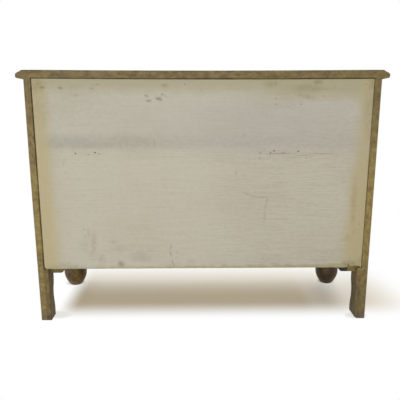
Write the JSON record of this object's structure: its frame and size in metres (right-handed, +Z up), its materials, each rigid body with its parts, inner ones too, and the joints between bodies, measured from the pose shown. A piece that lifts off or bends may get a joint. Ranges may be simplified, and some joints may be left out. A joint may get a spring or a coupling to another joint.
{
  "type": "chiffonier",
  "caption": "Low painted chiffonier with frieze drawers over a panelled cupboard, straight rear legs, bun front feet and a plain painted back panel.",
  "frame": {"origin": "on the floor, under the middle of the chiffonier's box", "axes": "+X to the right as seen from the front, +Y towards the back panel, +Z up"},
  "size_m": [1.253, 0.4384, 0.897],
  "materials": {
    "bronze_paint": "brushed and mottled bronze-gold paint, worn at the edges",
    "foot_paint": "darker bronze-gold paint with a waxed sheen",
    "back_paint": "thin off-white paint on plywood, with overspray at the edges",
    "bare_wood": "planed and oiled",
    "old_brass": "aged, dull"
  },
  "bodies": {
    "carcase": {"top_board": "bronze_paint", "back_panel": "back_paint", "bottom_board": "bronze_paint", "shelf": "bare_wood", "front_middle_rail": "bronze_paint", "front_apron": "bronze_paint", "drawer_divider": "bronze_paint", "drawer_runner_left": "bare_wood", "drawer_runner_right": "bare_wood", "drawer_runner_centre": "bare_wood", "back_rail": "bare_wood", "door_catch": "old_brass", "rear_corner_block_left": "bronze_paint", "rear_corner_block_right": "bronze_paint", "rear_post_left": "bronze_paint", "rear_post_right": "bronze_paint", "front_post_left": "bronze_paint", "front_post_right": "bronze_paint", "bun_foot_left": "foot_paint", "bun_foot_right": "foot_paint", "plinth_block_left": "bronze_paint", "plinth_block_right": "bronze_paint", "side_top_rail_left": "bronze_paint", "side_top_rail_right": "bronze_paint", "side_bottom_rail_left": "bronze_paint", "side_bottom_rail_right": "bronze_paint", "side_panel_left": "bronze_paint", "side_panel_right": "bronze_paint", "hinge_frame_leaf_upper_left": "old_brass", "hinge_frame_leaf_lower_left": "old_brass", "hinge_frame_leaf_upper_right": "old_brass", "hinge_frame_leaf_lower_right": "old_brass"},
    "drawer_left": {"drawer_front_left": "bronze_paint", "drawer_side_left_of_left": "bare_wood", "drawer_side_right_of_left": "bare_wood", "drawer_back_left": "bare_wood", "drawer_bottom_left": "bare_wood", "drawer_knob_left": "old_brass"},
    "drawer_right": {"drawer_front_right": "bronze_paint", "drawer_side_left_of_right": "bare_wood", "drawer_side_right_of_right": "bare_wood", "drawer_back_right": "bare_wood", "drawer_bottom_right": "bare_wood", "drawer_knob_right": "old_brass"},
    "door_left": {"door_hanging_stile_left": "bronze_paint", "door_meeting_stile_left": "bronze_paint", "door_upper_rail_left": "bronze_paint", "door_lower_rail_left": "bronze_paint", "door_panel_left": "bronze_paint", "door_knob_left": "old_brass", "hinge_door_leaf_upper_left": "old_brass", "hinge_door_leaf_lower_left": "old_brass"},
    "door_right": {"door_hanging_stile_right": "bronze_paint", "door_meeting_stile_right": "bronze_paint", "door_upper_rail_right": "bronze_paint", "door_lower_rail_right": "bronze_paint", "door_panel_right": "bronze_paint", "door_knob_right": "old_brass", "hinge_door_leaf_upper_right": "old_brass", "hinge_door_leaf_lower_right": "old_brass"}
  },
  "joints": [
    {"name": "drawer_left_slide", "type": "slide", "parent": "carcase", "child": "drawer_left", "axis": [0, -1, 0], "range_m": [0, 0.27]},
    {"name": "drawer_right_slide", "type": "slide", "parent": "carcase", "child": "drawer_right", "axis": [0, -1, 0], "range_m": [0, 0.27]},
    {"name": "door_left_swing", "type": "hinge", "parent": "carcase", "child": "door_left", "pos_m": [-0.55425, -0.19705, 0.4685], "axis": [0, 0, -1], "range_deg": [0, 165]},
    {"name": "door_right_swing", "type": "hinge", "parent": "carcase", "child": "door_right", "pos_m": [0.55425, -0.19705, 0.4685], "axis": [0, 0, 1], "range_deg": [0, 165]}
  ]
}
